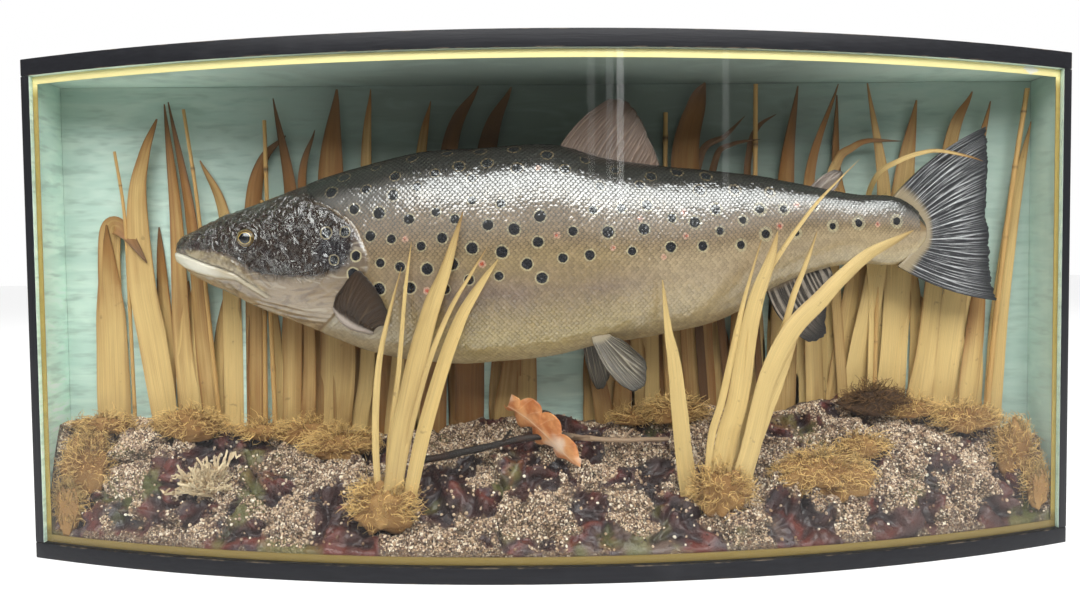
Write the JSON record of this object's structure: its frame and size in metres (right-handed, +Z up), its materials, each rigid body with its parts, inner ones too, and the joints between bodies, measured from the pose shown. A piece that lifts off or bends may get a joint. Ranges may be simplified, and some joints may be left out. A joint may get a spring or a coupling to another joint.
{
  "type": "cased brown trout trophy",
  "caption": "Preserved brown trout swimming left over painted rockwork, reeds and moss in a shallow ebonised case with a bowed glass front and a gold line",
  "frame": {"origin": "on the standing surface, under the middle of the case's width and depth", "axes": "+X runs along the case towards the fish's tail, +Y from the glass to the backboard, +Z up; the fish's head is at -X and its left flank faces -Y"},
  "size_m": [0.99, 0.146, 0.47],
  "materials": {
    "ebonised_wood": "ebonised, semi-matt, rubbed along its edges",
    "painted_backboard": "matt pale turquoise wash, darker towards the top",
    "bent_glass": "clear bent window glass",
    "gilt": "dull gold line",
    "trout_skin": "varnished olive-brown trout skin with black and red spots",
    "head_skin": "varnished dark head skin",
    "jaw_skin": "varnished cream and tan lips",
    "glass_eye": "glass eye with a gold ring",
    "fin_membrane": "dry brown fin membrane over rays",
    "tail_membrane": "dry slate-grey fin membrane over pale rays",
    "painted_rockwork": "purple-brown painted rockwork with cream grit",
    "dried_reed": "dry straw-coloured leaf",
    "dried_moss": "dry ochre moss",
    "pale_lichen": "dry cream lichen",
    "dry_twig": "weathered bark",
    "dry_oak_leaf": "dry rust-brown leaf"
  },
  "bodies": {
    "root": {"case_base": "ebonised_wood", "case_top": "ebonised_wood", "case_side_left": "ebonised_wood", "case_side_right": "ebonised_wood", "case_back": "painted_backboard", "glass_front": "bent_glass", "gilt_bottom": "gilt", "gilt_top": "gilt", "gilt_left": "gilt", "gilt_right": "gilt", "trunk": "trout_skin", "tail": "trout_skin", "head": "head_skin", "gill_cover_left": "head_skin", "gill_cover_right": "head_skin", "lower_jaw": "jaw_skin", "upper_jaw_left": "jaw_skin", "upper_jaw_right": "jaw_skin", "eye_left": "glass_eye", "eye_right": "glass_eye", "dorsal_fin": "fin_membrane", "adipose_fin": "fin_membrane", "anal_fin": "fin_membrane", "pelvic_fin_left": "fin_membrane", "pelvic_fin_right": "fin_membrane", "pectoral_fin_left": "fin_membrane", "pectoral_fin_right": "fin_membrane", "caudal_fin": "tail_membrane", "mount_block": "ebonised_wood", "groundwork": "painted_rockwork", "reed_bank_1": "dried_reed", "reed_bank_2": "dried_reed", "reed_bank_3": "dried_reed", "reed_bank_4": "dried_reed", "reed_bank_5": "dried_reed", "moss_corner_left": "dried_moss", "moss_bank_left": "dried_moss", "moss_bank_middle": "dried_moss", "moss_behind_twig": "dried_moss", "moss_dark": "dried_moss", "moss_large": "dried_moss", "moss_bank_right": "dried_moss", "moss_corner_right": "dried_moss", "reed_tuft_left": "dried_reed", "reed_tuft_right": "dried_reed", "reed_front": "dried_reed", "lichen": "pale_lichen", "twig": "dry_twig", "oak_leaf": "dry_oak_leaf"}
  },
  "joints": []
}
